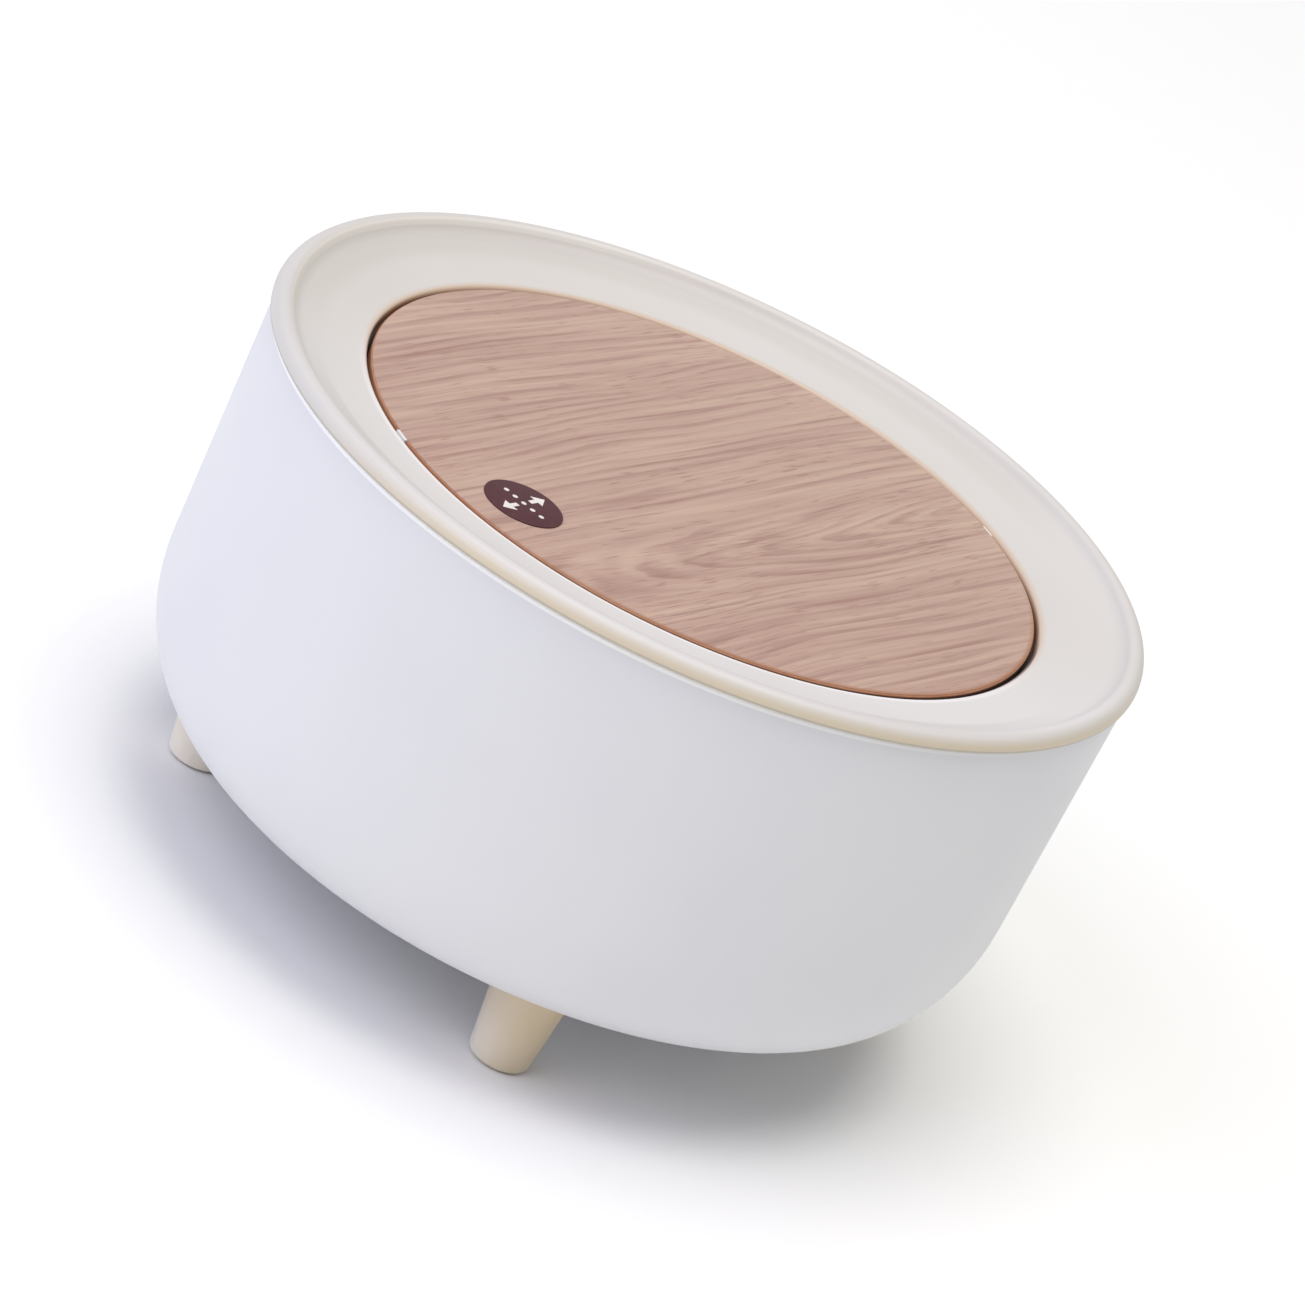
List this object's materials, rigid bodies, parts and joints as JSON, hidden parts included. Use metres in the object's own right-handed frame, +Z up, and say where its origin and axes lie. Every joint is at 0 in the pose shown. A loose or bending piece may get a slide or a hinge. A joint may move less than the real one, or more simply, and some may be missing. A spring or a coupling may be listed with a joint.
{
  "type": "tabletop waste bin",
  "caption": "Low round tabletop waste bin: rounded bucket on tapered feet, dished lift-off collar and a round wood-effect swing flap on a central pivot axis.",
  "frame": {"origin": "on the surface that it stands on, under the bin's own axis", "axes": "+Z up; X along the flap's pivot axis"},
  "size_m": [0.1994, 0.1994, 0.1104],
  "materials": {
    "body_white": "satin moulded polypropylene, cool white",
    "ring_cream": "satin moulded polypropylene, warm off-white",
    "flap_white": "fine matt moulded polypropylene, white",
    "board_brown": "fibreboard with a stained orange-brown edge",
    "grain_face": "printed oak-effect face, matt, straight grain with one oval figure",
    "label_plum": "dark plum-brown vinyl label, satin",
    "weight_steel": "cut mild steel bar, zinc plated",
    "screw_steel": "zinc plated pan-head screws",
    "foot_beige": "satin beige moulded feet",
    "sole_rubber": "grey anti-slip soles",
    "seal_rubber": "black sealing washers"
  },
  "bodies": {
    "bin": {"body_shell": "body_white", "foot_1": "foot_beige", "foot_2": "foot_beige", "foot_3": "foot_beige", "foot_4": "foot_beige", "foot_pad_1": "sole_rubber", "foot_pad_2": "sole_rubber", "foot_pad_3": "sole_rubber", "foot_pad_4": "sole_rubber", "foot_screws": "screw_steel", "foot_washers": "seal_rubber"},
    "lid": {"lid_ring": "ring_cream", "bearing_cap_left": "ring_cream", "bearing_cap_right": "ring_cream", "bearing_cap_screws": "screw_steel"},
    "flap": {"flap_carrier": "flap_white", "panel_board": "board_brown", "panel_grain_face": "grain_face", "flap_label": "label_plum", "panel_screws": "screw_steel", "counterweight": "weight_steel", "weight_cover": "flap_white", "weight_cover_screws": "screw_steel"}
  },
  "joints": [
    {"name": "lid_lift", "type": "slide", "parent": "bin", "child": "lid", "axis": [0, 0, 1], "range_m": [0, 0.1]},
    {"name": "flap_swing", "type": "hinge", "parent": "lid", "child": "flap", "pos_m": [0, 0, 0.1014], "axis": [1, 0, 0], "range_deg": [-80, 80]}
  ]
}
